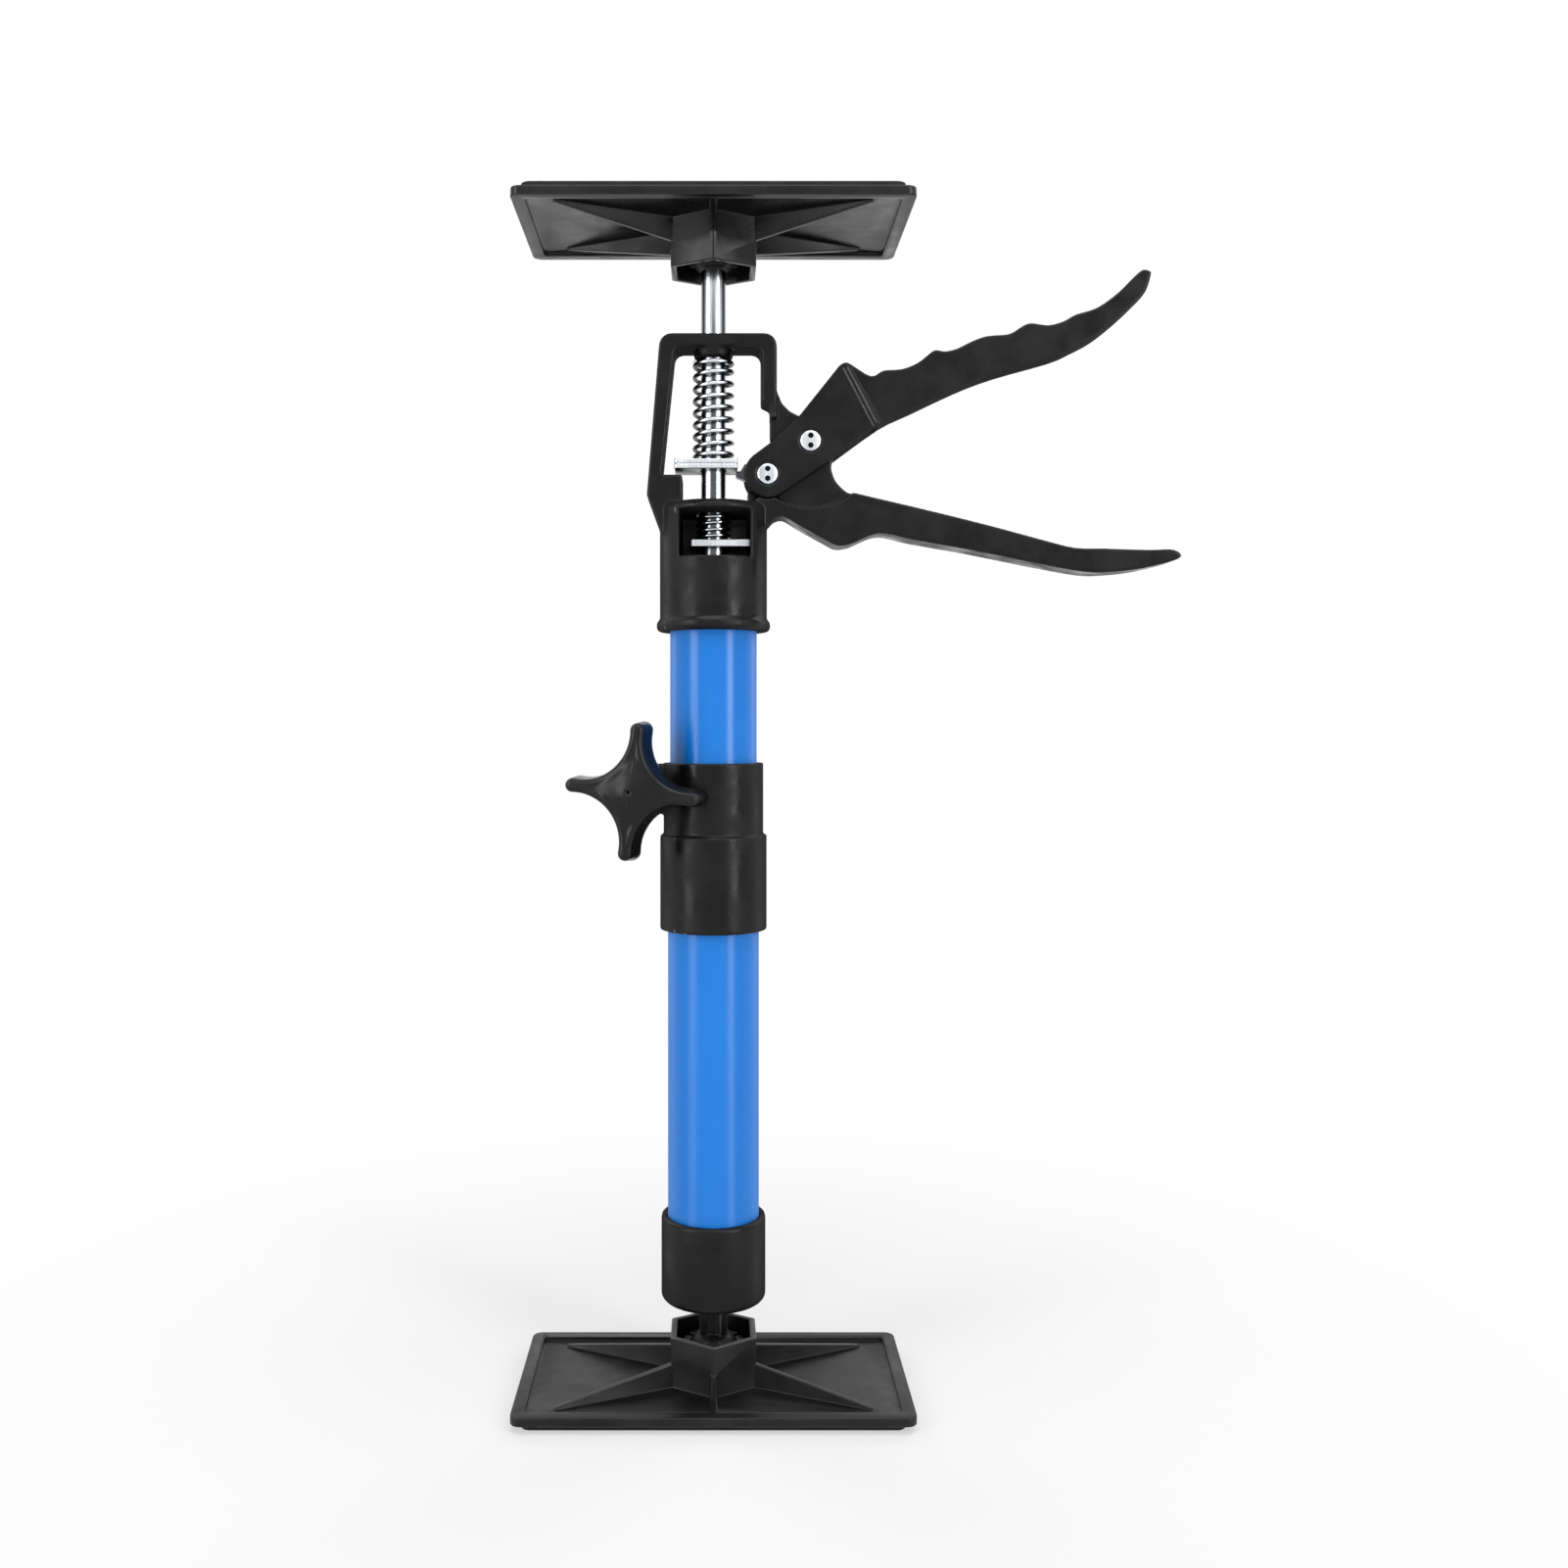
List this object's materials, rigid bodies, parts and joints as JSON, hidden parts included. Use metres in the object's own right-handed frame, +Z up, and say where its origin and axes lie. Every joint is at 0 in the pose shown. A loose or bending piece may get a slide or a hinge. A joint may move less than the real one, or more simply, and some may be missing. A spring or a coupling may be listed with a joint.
{
  "type": "telescopic drywall support pole",
  "caption": "Short telescopic support pole with tilting rubber-faced pads, a knob clamp and a squeeze lift head on a steel rod.",
  "frame": {"origin": "on the pole's axis at the foot mat's resting face", "axes": "+Z up the pole, +X towards the handles, +Y away from the clamp knob"},
  "size_m": [0.2016, 0.06, 0.3623],
  "materials": {
    "black_plastic": "satin moulded, fine texture",
    "mat_rubber": "matt",
    "blue_paint": "gloss powder coat",
    "zinc_steel": "bright zinc plate",
    "spring_steel": "bright wire",
    "dark_steel": "satin"
  },
  "bodies": {
    "foot": {"foot_mat": "mat_rubber", "foot_pad": "black_plastic"},
    "foot_ball": {"foot_ball_stud": "black_plastic"},
    "lower_pole": {"base_cap": "black_plastic", "lower_tube": "blue_paint", "clamp_collar": "black_plastic", "clamp_nut": "zinc_steel"},
    "knob": {"clamp_knob": "black_plastic", "clamp_bolt": "zinc_steel", "clamp_washer": "zinc_steel"},
    "upper_pole": {"upper_tube": "blue_paint", "head_body": "black_plastic", "pivot_rivet": "zinc_steel", "drive_spring": "spring_steel", "lock_spring": "spring_steel"},
    "squeeze_trigger": {"trigger": "black_plastic", "nose_rivet": "zinc_steel", "drive_pawl": "dark_steel"},
    "drive_clutch": {"drive_plate_lower": "zinc_steel", "drive_plate_upper": "zinc_steel"},
    "lock_clutch": {"lock_plate": "zinc_steel"},
    "rod": {"push_rod": "zinc_steel", "rod_stop": "dark_steel"},
    "top_ball": {"rod_ball": "black_plastic"},
    "top": {"top_pad": "black_plastic", "top_mat": "mat_rubber"}
  },
  "joints": [
    {"name": "foot_tilt", "type": "hinge", "parent": "foot", "child": "foot_ball", "pos_m": [0, 0, 0.0118], "axis": [0, 1, 0], "range_deg": [-20, 20]},
    {"name": "foot_swivel", "type": "hinge", "parent": "foot_ball", "child": "lower_pole", "pos_m": [0, 0, 0.0285], "axis": [0, 0, 1], "continuous": true},
    {"name": "pole_extend", "type": "slide", "parent": "lower_pole", "child": "upper_pole", "axis": [0, 0, 1], "range_m": [-0.04, 0.083]},
    {"name": "knob_turn", "type": "hinge", "parent": "lower_pole", "child": "knob", "pos_m": [-0.01809, 0.00434, 0.1848], "axis": [-0.2334, -0.9724, 0], "continuous": true},
    {"name": "trigger_squeeze", "type": "hinge", "parent": "upper_pole", "child": "squeeze_trigger", "pos_m": [0.0296, 0, 0.2911], "axis": [0, 1, 0], "range_deg": [0, 24], "stiffness_Nm_per_rad": 0.4, "springref_deg": -17.19},
    {"name": "drive_lift", "type": "slide", "parent": "upper_pole", "child": "drive_clutch", "axis": [0, 0, 1], "range_m": [0, 0.0101], "deforming": ["drive_spring"]},
    {"name": "lock_tilt", "type": "hinge", "parent": "upper_pole", "child": "lock_clutch", "pos_m": [0.0121, 0, 0.2587], "axis": [0, 1, 0], "range_deg": [0, 4], "stiffness_Nm_per_rad": 0.3, "springref_deg": -11.46, "deforming": ["lock_spring"]},
    {"name": "rod_lift", "type": "slide", "parent": "upper_pole", "child": "rod", "axis": [0, 0, 1], "range_m": [-0.0168, 0.1445]},
    {"name": "top_swivel", "type": "hinge", "parent": "rod", "child": "top_ball", "pos_m": [0, 0, 0.3505], "axis": [0, 0, 1], "continuous": true},
    {"name": "top_tilt", "type": "hinge", "parent": "top_ball", "child": "top", "pos_m": [0, 0, 0.3505], "axis": [0, 1, 0], "range_deg": [0, 20]}
  ],
  "couplings": [
    {"joint": "drive_lift", "follows": "trigger_squeeze", "m_per_rad": 0.0237}
  ]
}
